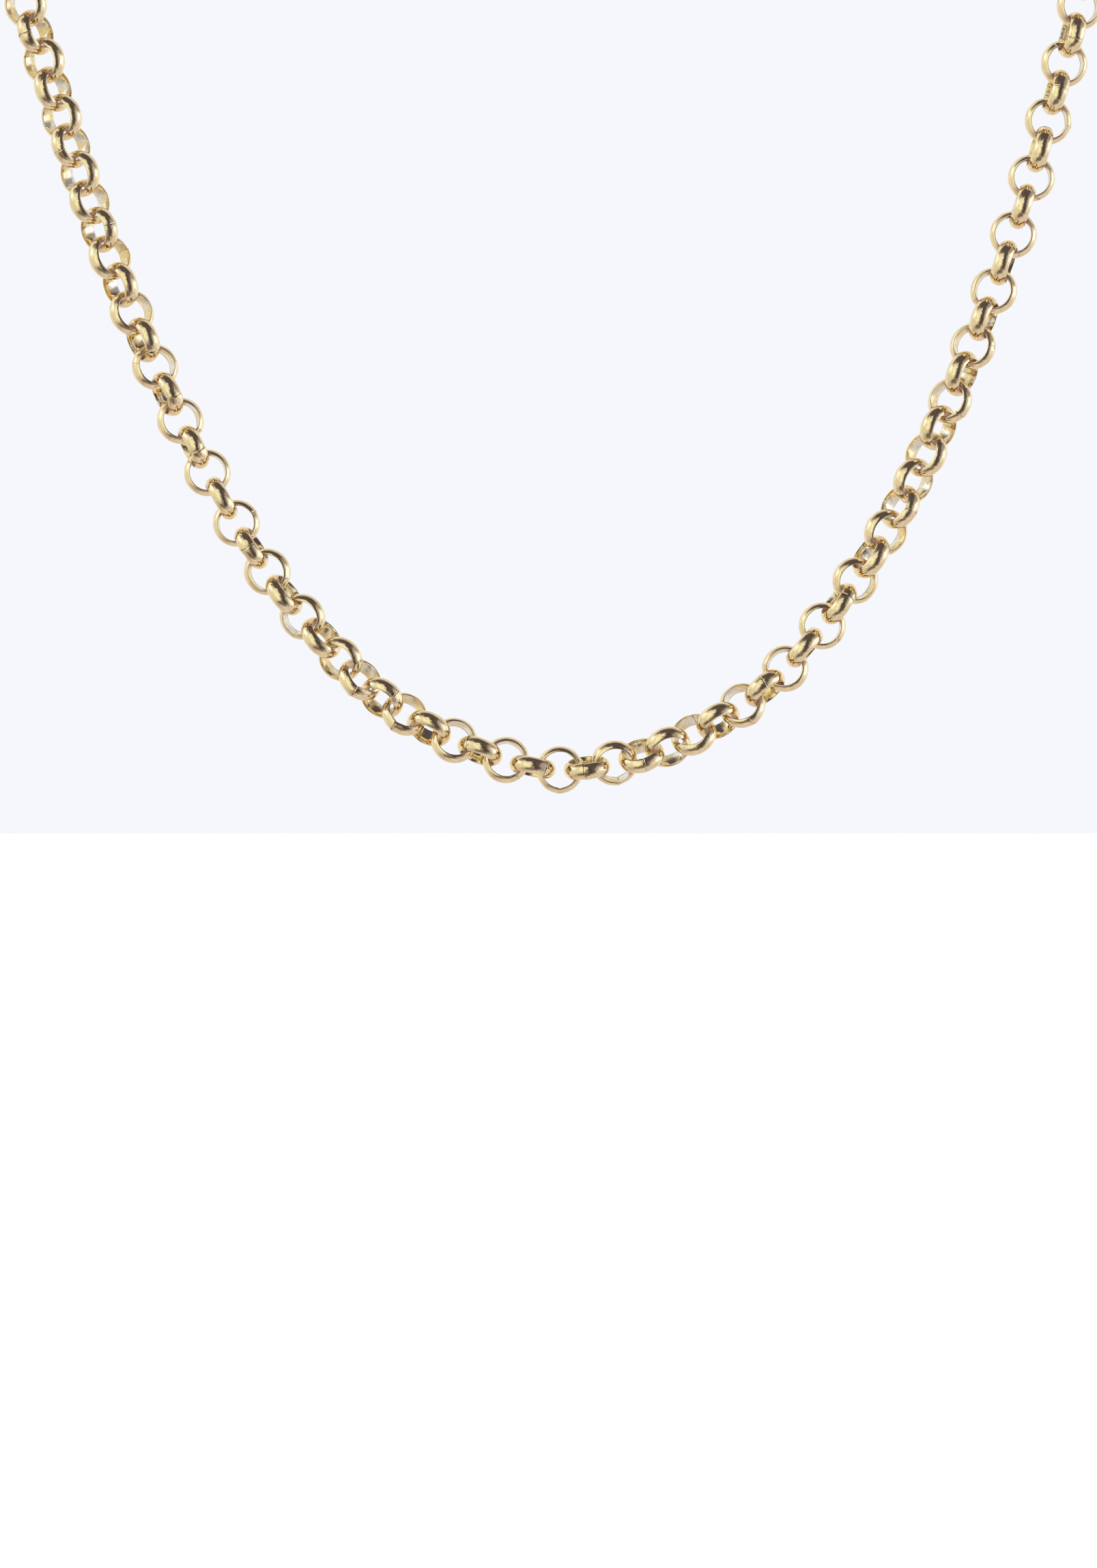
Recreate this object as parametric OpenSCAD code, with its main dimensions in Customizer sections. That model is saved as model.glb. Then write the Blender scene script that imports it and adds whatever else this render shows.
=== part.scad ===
// A necklace of belcher links, closed at the nape by a bolt ring, in the form that it takes when worn.
// The origin is at the nape, in the middle of the clasp. The front of the loop lies at -Y, and +Z is up.
// All sizes are in millimetres.

/* [Links] */
// Outside diameter of a link
link_od = 5; // [4.7:0.1:6]
// Wall of a link, from its flat bore to the crown of its dome
link_wall = 0.62; // [0.5:0.01:0.7]
// Width of a link's band, along its bore
link_w = 1.75; // [1.4:0.05:1.9]
// Radius of the dome across a link's band
dome_r = 1; // [0.95:0.05:2]
// Width of the softened edge on either side of the bore
link_edge = 0.12; // [0.08:0.01:0.2]
// How far two hooked pieces stay short of touching, along the chain
play = 0.28; // [0.26:0.01:0.4]

/* [Loop] */
// Width of the loop from side to side
loop_w = 128; // [110:1:160]
// Depth of the loop from the nape to the front
loop_depth = 90; // [75:1:120]
// Drop of the loop from the nape to the lowest link
loop_drop = 117; // [100:1:150]

/* [Clasp] */
// Outside diameter of the bolt ring
clasp_od = 8; // [7.6:0.1:10]
// Thickness of the bolt ring's round tube
clasp_tube = 1.7; // [1.4:0.05:1.8]
// Bore of the small eye on the bolt ring
eye_bore = 2.6; // [2.4:0.1:3]
// Thickness of the eye's round wire
eye_wire = 1; // [0.8:0.05:1.1]
// Depth to which the eye's wire sinks into the tube, where they are soldered
eye_sink = 0.3; // [0.2:0.05:0.5]
// Thickness of the thumb stud that slides the bolt
stud_d = 1; // [0.8:0.1:1.2]
// Height of the thumb stud above the tube
stud_h = 0.9; // [0.6:0.1:1.2]

/* [Hidden] */
$fn = 64;
metal = "#E3C27A";
bore_r = link_od / 2 - link_wall;
half_band = link_w / 2;
half_flat = half_band - link_edge;

// Chosen points of the chain's route [x, y, z], from its left end round the front to its right end
route = [
    [-22, -3.5, 0],
    [-36, -10.5, -0.5],
    [-48, -20, -1],
    [-57.5, -33, -2.5],
    [-63, -50, -5.5],
    [-64, -66, -10],
    [-63, -77.5, -14.5],
    [-60.9, -84.2, -19.5],
    [-58.8, -88.4, -26.2],
    [-56.6, -89.9, -33.5],
    [-54.6, -90, -39.4],
    [-50.8, -90, -51.5],
    [-47, -90, -62.4],
    [-42, -90, -74.5],
    [-36.5, -90, -85.6],
    [-30, -90, -96.3],
    [-24.4, -90, -103.1],
    [-18.2, -90, -109.3],
    [-10.2, -90, -114],
    [0, -90, -117],
    [10.1, -90, -115.4],
    [17.7, -90, -111.8],
    [23.9, -90, -107.2],
    [30.5, -90, -99.4],
    [36.7, -90, -89.6],
    [42.3, -90, -77.8],
    [46.8, -90, -66.5],
    [51, -90, -53.9],
    [54.4, -90, -42],
    [56.8, -90, -33.4],
    [59.7, -88.5, -25.9],
    [61.5, -84.5, -19.5],
    [63, -77.5, -14.5],
    [64, -66, -10],
    [63, -50, -5.5],
    [57.5, -33, -2.5],
    [48, -20, -1],
    [36, -10.5, -0.5],
    [22, -3.5, 0]
];

// How the links lie [share of the half that they are on, turn about the chain in degrees, spread].
// A share of 0 is the lowest link, -1 the left end and 1 the right end. A spread of 1 is hooked taut.
lie = [
    [-0.45, -152, 1],
    [-0.4, -145, 1],
    [-0.35, -136, 1],
    [-0.3, -123, 1],
    [-0.25, -106, 1],
    [-0.2, -90, 0.98],
    [-0.15, -73, 0.96],
    [-0.1, -47, 0.96],
    [-0.05, -20, 0.94],
    [0, 0, 0.92],
    [0.05, 42, 0.95],
    [0.1, 71, 0.96],
    [0.15, 98, 0.94],
    [0.2, 124, 0.98],
    [0.25, 146, 0.99],
    [0.3, 166, 1],
    [0.35, 180, 1],
    [0.4, 187, 1],
    [0.45, 194, 1]
];
turns = [for (row = lie) [row[0], row[1]]];
spreads = [for (row = lie) [row[0], row[2]]];
lie_end = lie[len(lie) - 1][0];

// Distance between the centres of two hooked rings, from the bore radius and half width of each
function hooked(bore_a, half_a, bore_b, half_b) =
    sqrt(bore_a * bore_a - half_b * half_b) + sqrt(bore_b * bore_b - half_a * half_a) - play;
pitch = hooked(bore_r, half_flat, bore_r, half_flat);

// The clasp: a round ring with a small eye on its left, and the distances from its middle to the end links
clasp_r = (clasp_od - clasp_tube) / 2;
clasp_bore_r = clasp_od / 2 - clasp_tube;
eye_r = (eye_bore + eye_wire) / 2;
eye_to_ring = clasp_od / 2 + eye_r + eye_wire / 2 - eye_sink;
stud_angle = 60;
hooked_eye = hooked(eye_bore / 2, eye_wire / 2, bore_r, half_flat);
hooked_ring = hooked(clasp_bore_r, clasp_tube / 2, bore_r, half_flat);
half_clasp = (hooked_eye + eye_to_ring + hooked_ring) / 2;
ring_x = half_clasp - hooked_ring;
left_end = [-half_clasp, 0, 0];
right_end = [half_clasp, 0, 0];

// The route follows the width, depth and drop of the loop, and ends at the clasp
drawn_w = max([for (p = route) p.x]) - min([for (p = route) p.x]);
drawn_depth = -min([for (p = route) p.y]);
drawn_drop = -min([for (p = route) p.z]);
fitted = [
    for (p = route) [p.x * loop_w / drawn_w, p.y * loop_depth / drawn_depth, p.z * loop_drop / drawn_drop]
];
function mirrored(p) = [-p.x, p.y, p.z];
knots = concat(
    [mirrored(fitted[0]), left_end],
    fitted,
    [right_end, mirrored(fitted[len(fitted) - 1])]
);

// A smooth line through the knots, with its length up to each of its points
spline_steps = 12;
function unit(v) = v / norm(v);
function spline(a, b, c, d, t) =
    (2 * b + (c - a) * t + (2 * a - 5 * b + 4 * c - d) * t * t + (3 * b - a - 3 * c + d) * t * t * t) / 2;
line = concat(
    [
        for (i = [1:len(knots) - 3], j = [0:spline_steps - 1])
            spline(knots[i - 1], knots[i], knots[i + 1], knots[i + 2], j / spline_steps)
    ],
    [right_end]
);
last_point = len(line) - 1;
function gap_after(i) = norm(line[min(i + 1, last_point)] - line[i]);
reach = [for (s = 0, i = 0; i <= last_point; s = s + gap_after(i), i = i + 1) s];
lookups = [for (axis = [0:2]) [for (i = [0:last_point]) [reach[i], line[i][axis]]]];
function place(s) = [for (axis = [0:2]) lookup(s, lookups[axis])];
function along(s) = unit(place(s + link_wall) - place(s - link_wall));

// The lowest point parts the line into a left and a right half
lowest_z = min([for (p = line) p.z]);
lowest_s = [for (i = [0:last_point]) if (line[i].z == lowest_z) reach[i]][0];

// Links from the lowest one out to an end: the least number that reaches it, at distances that close up evenly
function spread_sum(side, n, upto) =
    upto == 0 ? 0 : lookup(side * (upto - 0.5) / n, spreads) + spread_sum(side, n, upto - 1);
function link_count(side, length, n = 1) =
    pitch * spread_sum(side, n, n) >= length ? n : link_count(side, length, n + 1);
function link_reaches(side, length) =
    let (n = link_count(side, length), whole = spread_sum(side, n, n))
    [for (k = [0:n]) lowest_s + side * length * spread_sum(side, n, k) / whole];

// The side of the band that faces up at the lowest link is carried along the line without turning about it
function across(v, dir) = unit(v - (v * dir) * dir);
function carried(dirs) =
    [for (up = across([0, 0, 1], dirs[0]), k = 0; k < len(dirs);
        up = across(up, dirs[min(k + 1, len(dirs) - 1)]), k = k + 1) up];

// Every second link stands a quarter turn from its neighbours, and the last one lies flat where it is hooked
function quarter(k) = k % 2 == 0 ? 0 : -90;
function nearest_half_turn(angle) = angle - 180 * round(angle / 180);
function flat_turn(dir, up) = atan2(-up.z, cross(dir, up).z);

// Each link of a half from the lowest one outwards: its number, centre, direction, upper side and turn
function half_links(side, length, first) =
    let (
        reaches = link_reaches(side, length),
        n = len(reaches) - 1,
        dirs = [for (s = reaches) along(s)],
        ups = carried(dirs),
        last_turn = flat_turn(dirs[n], ups[n]) - lookup(side, turns) - quarter(n)
    )
    [
        for (k = [first:n])
            let (
                hidden_share = max(0, (k / n - lie_end) / (1 - lie_end)),
                turn = lookup(side * k / n, turns) + quarter(k) + nearest_half_turn(last_turn) * hidden_share
            )
            [k, place(reaches[k]), dirs[k], ups[k], turn]
    ];
all_links = concat(half_links(-1, lowest_s, 1), half_links(1, reach[last_point] - lowest_s, 0));

module band_section() {
    intersection() {
        translate([link_od / 2 - dome_r, 0])
            circle(dome_r);
        polygon([
            [bore_r, half_flat],
            [bore_r + link_edge, half_band],
            [link_od / 2, half_band],
            [link_od / 2, -half_band],
            [bore_r + link_edge, -half_band],
            [bore_r, -half_flat]
        ]);
    }
}

module link_at(centre, dir, up, turn) {
    side = cos(turn) * up + sin(turn) * cross(dir, up);
    bore = cross(dir, side);
    multmatrix([
        [dir.x, side.x, bore.x, centre.x],
        [dir.y, side.y, bore.y, centre.y],
        [dir.z, side.z, bore.z, centre.z]
    ])
        rotate_extrude()
            band_section();
}

// Every second link of the whole chain: those that face the front at the lowest point, or those between them
module every_second_link(odd) {
    color(metal)
        for (l = all_links)
            if (l[0] % 2 == odd)
                link_at(l[1], l[2], l[3], l[4]);
}

module facing_links() {
    every_second_link(0);
}

module crossing_links() {
    every_second_link(1);
}

module round_ring(mean_r, wire) {
    rotate([90, 0, 0])
        rotate_extrude()
            translate([mean_r, 0])
                circle(d = wire);
}

module clasp() {
    color(metal)
        translate([ring_x, 0, 0]) {
            round_ring(clasp_r, clasp_tube);
            translate([-eye_to_ring, 0, 0])
                round_ring(eye_r, eye_wire);
            rotate([0, -stud_angle, 0])
                translate([clasp_r, 0, 0])
                    rotate([0, 90, 0])
                        cylinder(d = stud_d, h = clasp_tube / 2 + stud_h);
        }
}

facing_links();
crossing_links();
clasp();
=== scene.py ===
# %% [markdown]
# # A gold belcher chain
# A belcher chain, also sold as a rolo chain, is a row of round links that are all alike. Each link is cut
# from a strip with a half-round outside and a flat inside, bent into a ring, and closed with a butt joint.
# The frame already holds every ring at its real place, because the chain's form is settled there. What is
# left for this script is what makes metal look like metal: the exact section of the band, the joint that
# every link has, the small bends and dents of bench work, the polish, and the room that it mirrors.

# %% Load the fixed frame
import math
import random

import bmesh
import bpy
import numpy as np
from mathutils import Matrix, Vector
from mathutils.bvhtree import BVHTree


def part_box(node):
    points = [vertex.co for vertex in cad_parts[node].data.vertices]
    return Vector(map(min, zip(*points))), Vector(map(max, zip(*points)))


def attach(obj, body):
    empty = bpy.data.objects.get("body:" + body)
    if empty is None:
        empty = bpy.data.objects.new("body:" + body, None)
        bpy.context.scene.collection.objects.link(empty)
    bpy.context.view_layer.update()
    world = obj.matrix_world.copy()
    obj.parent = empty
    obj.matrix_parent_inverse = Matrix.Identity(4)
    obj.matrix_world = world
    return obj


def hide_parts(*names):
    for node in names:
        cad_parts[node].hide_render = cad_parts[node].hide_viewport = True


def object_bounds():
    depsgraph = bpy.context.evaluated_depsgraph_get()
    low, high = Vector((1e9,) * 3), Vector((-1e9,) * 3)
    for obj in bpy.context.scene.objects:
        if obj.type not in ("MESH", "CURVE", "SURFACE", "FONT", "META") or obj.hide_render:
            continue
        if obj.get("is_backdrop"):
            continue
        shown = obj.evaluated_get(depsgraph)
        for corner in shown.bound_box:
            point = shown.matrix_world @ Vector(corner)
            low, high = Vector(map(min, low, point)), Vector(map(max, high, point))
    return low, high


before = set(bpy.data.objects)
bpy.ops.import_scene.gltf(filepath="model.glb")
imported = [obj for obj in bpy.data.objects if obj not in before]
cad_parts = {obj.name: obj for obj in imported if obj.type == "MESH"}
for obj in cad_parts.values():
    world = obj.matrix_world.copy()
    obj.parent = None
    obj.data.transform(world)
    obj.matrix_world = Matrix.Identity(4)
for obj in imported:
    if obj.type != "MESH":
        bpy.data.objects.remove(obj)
cad_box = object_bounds()
# The frame is in metres, and a jeweller thinks in millimetres
MM = 0.001
print("The frame holds", ", ".join(sorted(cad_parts)))

# %% [markdown]
# ## Where the links are
# The links are loose rings in two meshes, so their places can be read back instead of typed in again. Each
# loose part is a ring. Its middle is the mean of its points, and its axis is the direction in which those
# points spread least. That is the last row of a singular value decomposition, a tool worth knowing whenever
# a tilted part has to be measured.

# %% Read each ring's middle and axis from the frame
SAME_POINT = 0.001 * MM


def rings_of(node):
    """The middle, axis and outer radius of each loose ring in a CAD node."""
    mesh = bmesh.new()
    mesh.from_mesh(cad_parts[node].data)
    bmesh.ops.remove_doubles(mesh, verts=mesh.verts, dist=SAME_POINT)
    rings, seen = [], set()
    for first in mesh.verts:
        if first in seen:
            continue
        seen.add(first)
        part = [first]
        for vert in part:
            for edge in vert.link_edges:
                other = edge.other_vert(vert)
                if other not in seen:
                    seen.add(other)
                    part.append(other)
        points = np.array([vert.co for vert in part])
        middle = points.mean(axis=0)
        axis = np.linalg.svd(points - middle, full_matrices=False)[2][2]
        across = np.cross(points - middle, axis)
        rings.append({
            "node": node,
            "middle": Vector(middle),
            "axis": Vector(axis),
            "radius": float(np.linalg.norm(across, axis=1).max()),
        })
    mesh.free()
    return rings


rings = rings_of("facing_links") + rings_of("crossing_links")
link_radius = max(ring["radius"] for ring in rings)
print(len(rings), "links, each", round(2 * link_radius / MM, 3), "mm across")

# %% Put the rings in their order along the chain
def in_order(rings, start):
    """The rings from the start point onwards, each time the nearest one that is left."""
    left, ordered, here = list(rings), [], start
    while left:
        nearest = min(range(len(left)), key=lambda i: (left[i]["middle"] - here).length)
        ordered.append(left.pop(nearest))
        here = ordered[-1]["middle"]
    return ordered


clasp_low, clasp_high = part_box("clasp")
eye_end = Vector((clasp_low.x, clasp_low.y, clasp_low.z))
chain = in_order(rings, eye_end)
lowest = min(range(len(chain)), key=lambda i: chain[i]["middle"].z)
for i, ring in enumerate(chain):
    ring["number"] = i - lowest
print("Links on either side of the lowest one:", lowest, "and", len(chain) - 1 - lowest)

# %% [markdown]
# ## Where each link is joined
# On a real chain no joint is in the same place as its neighbour's, and a row of perfect rings is what gives
# a render away. For the links that show, the joint goes where the photograph has it. The table below holds
# the joints' places, read off in the photograph's pixels, and a function turns each into a side of its
# own link: it walks round the ring and keeps the point that lies nearest to that pixel. The joints that
# nobody sees are drawn by lot, from a fixed seed, so that each run gives the same chain.

# %% The photograph's scale, and the joints that show in it
LINK_PIXELS = 69
LOWEST_LINK_PIXEL = (820, 1127)
mm_per_pixel = 2 * link_radius / MM / LINK_PIXELS
JOINTS_SEEN = {
    -33: (40, 51), -31: (81, 98), -30: (60, 120), -29: (88, 225), -26: (155, 333), -24: (188, 441),
    -22: (220, 519), -20: (252, 585), -19: (288, 628), -17: (275, 676), -15: (372, 750), -14: (363, 803),
    -13: (417, 847), -12: (432, 893), -9: (522, 970), -8: (521, 1011), -6: (577, 1064), -5: (617, 1070),
    -3: (683, 1088), -2: (757, 1135), -1: (800, 1125), 0: (820, 1152), 1: (856, 1135), 2: (906, 1144),
    3: (947, 1127), 7: (1097, 1050), 11: (1228, 937), 16: (1331, 747), 26: (1491, 371), 28: (1518, 288),
    30: (1565, 185), 31: (1545, 126), 32: (1546, 70), 33: (1570, 60),
}
JOINTS_ON_THE_FAR_SIDE = {-30, -5, 2}
print(len(JOINTS_SEEN), "joints show,", round(mm_per_pixel, 4), "mm to a pixel")

# %% Turn each pixel into a side of its link
SIDE_STEP = 3
DEPTH_WEIGHT = 0.3


def across_ring(ring):
    """Two directions in the ring's own plane, at right angles."""
    one = ring["axis"].orthogonal().normalized()
    return one, ring["axis"].cross(one).normalized()


def pixel_of(point):
    """The photograph's pixel at which a point of the hanging front is seen."""
    away = (point - chain[lowest]["middle"]) / MM / mm_per_pixel
    return Vector((LOWEST_LINK_PIXEL[0] + away.x, LOWEST_LINK_PIXEL[1] - away.z))


def side_nearest(ring, pixel, far):
    """The direction from the ring's middle to the point of its band that is seen nearest to the pixel."""
    one, two = across_ring(ring)
    turns = [math.radians(turn) for turn in range(0, 360, SIDE_STEP)]
    sides = [math.cos(turn) * one + math.sin(turn) * two for turn in turns]
    depth_weight = -DEPTH_WEIGHT if far else DEPTH_WEIGHT

    def miss(side):
        seen = pixel_of(ring["middle"] + side * ring["radius"])
        depth = side.y * LINK_PIXELS / 2
        return (seen - Vector(pixel)).length + depth_weight * depth

    return min(sides, key=miss)


SEED = 11
lots = random.Random(SEED)
for ring in chain:
    number = ring["number"]
    one, two = across_ring(ring)
    turn = lots.uniform(0, 2 * math.pi)
    ring["joint_side"] = math.cos(turn) * one + math.sin(turn) * two
    if number in JOINTS_SEEN:
        ring["joint_side"] = side_nearest(ring, JOINTS_SEEN[number], number in JOINTS_ON_THE_FAR_SIDE)
print(len(chain) - len(JOINTS_SEEN), "joints are drawn by lot")

# %% [markdown]
# ## How far each link is out of round
# The two ends of the bent strip stay a little straight, because nothing bends the last millimetre. Closed,
# they meet in a shallow point, which shows as a corner in the ring's inner edge. The ends can also stand a
# hair out of line. Both are numbers of the single link: a few are listed one by one, where the photograph
# shows a strong corner, and the others are drawn by lot within what a bench worker lets pass.

# %% Straight ends and misfit of each link
# How far the straight ends reach on either side of the joint, in degrees
STRONG_CORNERS = {-14: 14, -8: 17, -6: 18, 0: 17, 2: 18, 16: 15, 30: 19, 31: 13}
USUAL_CORNERS = (5, 12)
# How far the ends stand out of line along the band's width, and outwards, in millimetres
MISFIT = 0.03
STEP = 0.02
# The joint's depth as a share of the usual one, and the ring's stretch towards its joint
GAPE = (0.5, 1.3)
OVAL = 0.008
for ring in chain:
    straight = STRONG_CORNERS.get(ring["number"], lots.uniform(*USUAL_CORNERS))
    ring["straight"] = math.radians(straight)
    ring["misfit"] = lots.uniform(-MISFIT, MISFIT) * MM
    ring["step"] = lots.uniform(-STEP, STEP) * MM
    ring["gape"] = lots.uniform(*GAPE)
    ring["oval"] = lots.uniform(-OVAL, OVAL)
longest_end = max(math.degrees(ring["straight"]) for ring in chain)
print("Straight ends reach", round(longest_end), "degrees at most")

# %% [markdown]
# ## A helper for node trees
# Shaders, the world and Geometry Nodes are all trees of nodes. One function is enough to write them down:
# it adds a node, sets its settings, and fills its inputs. What is itself a node or a socket is linked, and
# anything else is typed into the socket.

# %% Add a node
def add(tree, kind, inputs=(), **settings):
    """Adds one node to a tree and returns it."""
    made = tree.nodes.new(kind)
    for name, value in settings.items():
        setattr(made, name, value)
    for key, value in dict(inputs).items():
        if isinstance(value, bpy.types.Node):
            value = value.outputs[0]
        if isinstance(value, bpy.types.NodeSocket):
            tree.links.new(value, made.inputs[key])
        else:
            made.inputs[key].default_value = value
    return made


def empty_tree(owner):
    """The node tree of a material or a world, with nothing in it yet."""
    owner.use_nodes = True
    owner.node_tree.nodes.clear()
    return owner.node_tree


def linear(hex_colour):
    """An sRGB hex colour as the linear values that Blender's sockets hold."""
    parts = [int(hex_colour[i:i + 2], 16) / 255 for i in (1, 3, 5)]
    return [p / 12.92 if p <= 0.04045 else ((p + 0.055) / 1.055) ** 2.4 for p in parts] + [1.0]


print("A mid grey of #808080 is", round(linear("#808080")[0], 3), "in linear light")

# %% [markdown]
# ## The section of the band
# The strip is half round outside and flat inside, and its two edges are broken with a file. That outline is
# a chain of arcs that touch without a corner: the dome, a small arc at each edge, and the flat of the bore.
# The dome's radius isn't a free choice then. It follows from the wall, the width and the edge, and the
# formula below is the condition that the small arc touches both the flat and the dome.

# %% Sizes of the section
WALL = 0.62 * MM
BAND_WIDTH = 1.75 * MM
EDGE_RADIUS = 0.07 * MM
bore_radius = link_radius - WALL
edge_rise = BAND_WIDTH / 2 - EDGE_RADIUS
dome_radius = ((WALL - EDGE_RADIUS) ** 2 + edge_rise ** 2 - EDGE_RADIUS ** 2) / (2 * (WALL - 2 * EDGE_RADIUS))
dome_angle = math.asin(edge_rise / (dome_radius - EDGE_RADIUS))
dome_sweep_degrees = round(math.degrees(2 * dome_angle))
print("The dome has a radius of", round(dome_radius / MM, 3), "mm over", dome_sweep_degrees, "degrees")

# %% [markdown]
# ## One tree for all the links
# The links repeat, so Geometry Nodes make them. The tree sweeps the section round a circle whose points
# crowd together at the joint, where the small forms are. It puts one copy on each point of a small mesh
# that carries the rings' middles, and realizes the copies. Only then does it bend them: the copies keep the
# place that each point had on the flat ring, in an attribute, so every link can get its own straight ends,
# misfit and dents, which plain instances can't have.

# %% Start the tree, with its sizes as named inputs
links_tree = bpy.data.node_groups.new("belcher links", "GeometryNodeTree")
links_tree.interface.new_socket("Places", in_out="INPUT", socket_type="NodeSocketGeometry")
link_inputs = {}
for name, kind, value in [
    ("Bore radius", "NodeSocketFloat", bore_radius),
    ("Wall", "NodeSocketFloat", WALL),
    ("Edge rise", "NodeSocketFloat", edge_rise),
    ("Edge radius", "NodeSocketFloat", EDGE_RADIUS),
    ("Dome radius", "NodeSocketFloat", dome_radius),
    ("Dome angle", "NodeSocketFloat", dome_angle),
    ("Points round a link", "NodeSocketInt", 72),
    ("Points across the dome", "NodeSocketInt", 13),
    ("Points across an edge", "NodeSocketInt", 3),
    ("Crowding at the joint", "NodeSocketFloat", 1.45),
    ("Straightness kept at the crown", "NodeSocketFloat", 0.5),
    ("Reach of the misfit", "NodeSocketFloat", math.radians(40)),
    ("Joint depth", "NodeSocketFloat", 0.08 * MM),
    ("Joint half width", "NodeSocketFloat", math.radians(0.3)),
    ("Dent size", "NodeSocketFloat", 1.1 * MM),
    ("Dent depth", "NodeSocketFloat", 0.014 * MM),
    ("Dent depth at the joint", "NodeSocketFloat", 0.035 * MM),
    ("Reach of the joint's dents", "NodeSocketFloat", math.radians(35)),
    ("Reach of the joint's residue", "NodeSocketFloat", math.radians(25)),
    ("Seed", "NodeSocketFloat", 3.0),
    ("Metal", "NodeSocketMaterial", None),
]:
    socket = links_tree.interface.new_socket(name, in_out="INPUT", socket_type=kind)
    link_inputs[name] = (socket.identifier, value)
links_tree.interface.new_socket("Links", in_out="OUTPUT", socket_type="NodeSocketGeometry")
given = add(links_tree, "NodeGroupInput").outputs
print("The tree has", len(link_inputs), "inputs besides the places")

# %% Read what each place and each flat link carries
carried = {}
for kind, names in [
    ("FLOAT_VECTOR", ("axis", "joint_side", "ring_place")),
    ("FLOAT", ("straight", "misfit", "step", "gape", "oval", "number")),
]:
    for name in names:
        carried[name] = add(
            links_tree, "GeometryNodeInputNamedAttribute", {"Name": name}, data_type=kind)
print("The tree reads", ", ".join(carried))

# %% The path of the band: a circle that starts and ends at the joint, on its +X side
index = add(links_tree, "GeometryNodeInputIndex")
share = add(links_tree, "ShaderNodeMapRange", {
    "Value": index, "From Max": given["Points round a link"], "To Min": -1.0, "To Max": 1.0})
size_of_share = add(links_tree, "ShaderNodeMath", {0: share}, operation="ABSOLUTE")
crowded = add(links_tree, "ShaderNodeMath", {
    0: size_of_share, 1: given["Crowding at the joint"]}, operation="POWER")
half_turns = add(links_tree, "ShaderNodeMath", {0: crowded, 1: math.pi}, operation="MULTIPLY")
side_of_share = add(links_tree, "ShaderNodeMath", {0: share}, operation="SIGN")
path_angle = add(links_tree, "ShaderNodeMath", {0: half_turns, 1: side_of_share}, operation="MULTIPLY")
path_start = add(links_tree, "ShaderNodeCombineXYZ", {0: given["Bore radius"]})
path_place = add(links_tree, "ShaderNodeVectorRotate", {
    "Vector": path_start, "Angle": path_angle}, rotation_type="Z_AXIS")
circle = add(links_tree, "GeometryNodeCurvePrimitiveCircle", {"Resolution": given["Points round a link"]})
path = add(links_tree, "GeometryNodeSetPosition", {"Geometry": circle, "Position": path_place})
path_normals = add(links_tree, "GeometryNodeSetCurveNormal", {"Curve": path}, mode="Z_UP")
print("The path goes round the bore, which is", round(2 * bore_radius / MM, 2), "mm across")

# %% The section's dome
dome_start = add(links_tree, "ShaderNodeMath", {0: given["Dome angle"], 1: -1.0}, operation="MULTIPLY")
dome_sweep = add(links_tree, "ShaderNodeMath", {0: given["Dome angle"], 1: 2.0}, operation="MULTIPLY")
dome_arc = add(links_tree, "GeometryNodeCurveArc", {
    "Resolution": given["Points across the dome"], "Radius": given["Dome radius"],
    "Start Angle": dome_start, "Sweep Angle": dome_sweep})
dome_shift = add(links_tree, "ShaderNodeMath", {
    0: given["Wall"], 1: given["Dome radius"]}, operation="SUBTRACT")
dome_offset = add(links_tree, "ShaderNodeCombineXYZ", {0: dome_shift})
dome = add(links_tree, "GeometryNodeSetPosition", {"Geometry": dome_arc, "Offset": dome_offset})
print("The dome's middle lies", round((bore_radius + WALL - dome_radius) / MM, 2), "mm from the ring's")

# %% The section's two broken edges and its flat, all in one sense of turning
edge_sweep = add(links_tree, "ShaderNodeMath", {0: math.pi, 1: given["Dome angle"]}, operation="SUBTRACT")
edge_drop = add(links_tree, "ShaderNodeMath", {0: given["Edge rise"], 1: -1.0}, operation="MULTIPLY")
edges = []
for start, rise in [(given["Dome angle"], given["Edge rise"]), (math.pi, edge_drop)]:
    edge_arc = add(links_tree, "GeometryNodeCurveArc", {
        "Resolution": given["Points across an edge"], "Radius": given["Edge radius"],
        "Start Angle": start, "Sweep Angle": edge_sweep})
    edge_offset = add(links_tree, "ShaderNodeCombineXYZ", {0: given["Edge radius"], 1: rise})
    edges.append(add(links_tree, "GeometryNodeSetPosition", {"Geometry": edge_arc, "Offset": edge_offset}))
upper_edge, lower_edge = edges
bore_start = add(links_tree, "ShaderNodeCombineXYZ", {1: given["Edge rise"]})
bore_end = add(links_tree, "ShaderNodeCombineXYZ", {1: edge_drop})
bore_line = add(links_tree, "GeometryNodeCurvePrimitiveLine", {"Start": bore_start, "End": bore_end})
section = add(links_tree, "GeometryNodeJoinGeometry")
for part in (dome, upper_edge, bore_line, lower_edge):
    links_tree.links.new(part.outputs[0], section.inputs[0])
print("The flat of the bore is", round(2 * edge_rise / MM, 2), "mm wide")

# %% Sweep the section, close its seams and remember where each point lies on the flat ring
SEAM_GAP = 0.002 * MM
swept = add(links_tree, "GeometryNodeCurveToMesh", {"Curve": path_normals, "Profile Curve": section})
closed = add(links_tree, "GeometryNodeMergeByDistance", {"Geometry": swept, "Distance": SEAM_GAP})
position = add(links_tree, "GeometryNodeInputPosition")
one_link = add(links_tree, "GeometryNodeStoreNamedAttribute", {
    "Geometry": closed, "Name": "ring_place", "Value": position}, data_type="FLOAT_VECTOR", domain="POINT")
print("Seams up to", round(SEAM_GAP / MM, 3), "mm wide are closed")

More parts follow.
